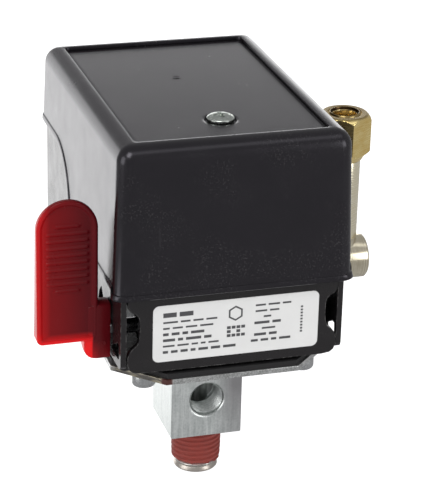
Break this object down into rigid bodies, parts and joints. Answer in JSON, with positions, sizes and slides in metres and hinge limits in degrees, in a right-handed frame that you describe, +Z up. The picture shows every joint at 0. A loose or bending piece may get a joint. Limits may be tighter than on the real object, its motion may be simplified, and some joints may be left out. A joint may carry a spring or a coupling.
{
  "type": "pressure switch",
  "caption": "Compressor pressure switch with a black cover over a folded base, a red AUTO/OFF lever, an unloader valve and a pipe-threaded manifold block.",
  "frame": {"origin": "on the axis of the male pipe thread, at the shoulder under the manifold block", "axes": "+Z up along the pipe thread axis, -Y out of the labelled front, +X to the right of the label"},
  "size_m": [0.0974, 0.0885, 0.1052],
  "materials": {
    "black_cover_plastic": "moulded thermoplastic, satin gloss",
    "black_enamel": "black enamelled sheet steel",
    "label_film": "white printed film",
    "zinc_steel": "clear zinc plate",
    "bright_zinc": "bright zinc plate over drawn steel",
    "plain_steel": "oiled steel",
    "spring_steel": "tempered spring steel",
    "brick_sealant": "dry thread sealant",
    "black_rubber": "nitrile rubber",
    "red_plastic": "glossy moulded plastic",
    "phenolic": "dark moulded phenolic",
    "yellow_brass": "turned brass",
    "copper": "rolled copper",
    "green_zinc": "green dyed zinc",
    "yellow_zinc": "yellow chromate zinc, turned"
  },
  "bodies": {
    "root": {"base_channel": "black_enamel", "end_plate_left": "black_enamel", "end_plate_right": "black_enamel", "rating_label": "label_film", "cover_post": "plain_steel", "manifold_block": "bright_zinc", "thread_sealant": "brick_sealant", "diaphragm_flange": "bright_zinc", "diaphragm": "black_rubber", "flange_screws": "zinc_steel", "detent_spring": "spring_steel", "pivot_bracket": "zinc_steel", "beam_pivot_pin": "plain_steel", "range_stud": "zinc_steel", "range_washer": "zinc_steel", "range_spring": "spring_steel", "differential_stud": "zinc_steel", "differential_spring": "spring_steel", "contact_spring": "spring_steel", "contact_bracket": "zinc_steel", "contact_block": "phenolic", "terminals": "yellow_brass", "terminal_screws": "zinc_steel", "block_screws": "zinc_steel", "spring_bridge": "zinc_steel", "ground_screw": "green_zinc", "valve_body": "yellow_zinc", "valve_riser": "yellow_zinc", "ferrule": "yellow_brass", "valve_jam_nut": "zinc_steel", "valve_spring": "spring_steel", "valve_plug": "yellow_zinc"},
    "cover": {"cover": "black_cover_plastic", "cover_screw": "zinc_steel"},
    "lever": {"lever": "red_plastic", "lever_shaft": "plain_steel", "lever_clip": "spring_steel", "lever_cam": "plain_steel"},
    "beam": {"actuator_beam": "zinc_steel", "range_seat": "zinc_steel"},
    "piston": {"piston": "plain_steel"},
    "carrier": {"contact_carrier": "phenolic", "contact_bridges": "copper"},
    "valve_pin": {"valve_pin": "plain_steel", "valve_seal": "black_rubber"},
    "range_nut": {"range_nut": "zinc_steel"},
    "differential_nut": {"differential_nut": "zinc_steel"},
    "compression_nut": {"compression_nut": "yellow_brass"}
  },
  "joints": [
    {"name": "cover_lift", "type": "slide", "parent": "root", "child": "cover", "axis": [0, 0, 1], "range_m": [0, 0.06]},
    {"name": "lever_turn", "type": "hinge", "parent": "root", "child": "lever", "pos_m": [-0.0315, -0.019, 0.0395], "axis": [-1, 0, 0], "range_deg": [0, 50]},
    {"name": "beam_tilt", "type": "hinge", "parent": "root", "child": "beam", "pos_m": [0, -0.024, 0.044], "axis": [1, 0, 0], "range_deg": [0, 2.4], "stiffness_Nm_per_rad": 3, "deforming": ["range_spring", "differential_spring"]},
    {"name": "piston_stroke", "type": "slide", "parent": "root", "child": "piston", "axis": [0, 0, 1], "range_m": [0, 0.00102]},
    {"name": "carrier_lift", "type": "slide", "parent": "root", "child": "carrier", "axis": [0, 0, 1], "range_m": [0, 0.00127], "deforming": ["contact_spring"]},
    {"name": "valve_pin_push", "type": "slide", "parent": "root", "child": "valve_pin", "axis": [1, 0, 0], "range_m": [0, 0.00102], "deforming": ["valve_spring"]},
    {"name": "range_nut_turn", "type": "hinge", "parent": "root", "child": "range_nut", "pos_m": [0, 0.033, 0.0735], "axis": [0, 0, 1], "continuous": true},
    {"name": "differential_nut_turn", "type": "hinge", "parent": "root", "child": "differential_nut", "pos_m": [0.015, 0.04, 0.06], "axis": [0, 0, 1], "continuous": true},
    {"name": "compression_nut_turn", "type": "hinge", "parent": "root", "child": "compression_nut", "pos_m": [0.0419, 0.009, 0.075], "axis": [0, 0, 1], "continuous": true}
  ],
  "couplings": [
    {"joint": "piston_stroke", "follows": "beam_tilt", "m_per_rad": 0.02398},
    {"joint": "carrier_lift", "follows": "beam_tilt", "m_per_rad": 0.02998},
    {"joint": "valve_pin_push", "follows": "beam_tilt", "m_per_rad": 0.02398}
  ]
}
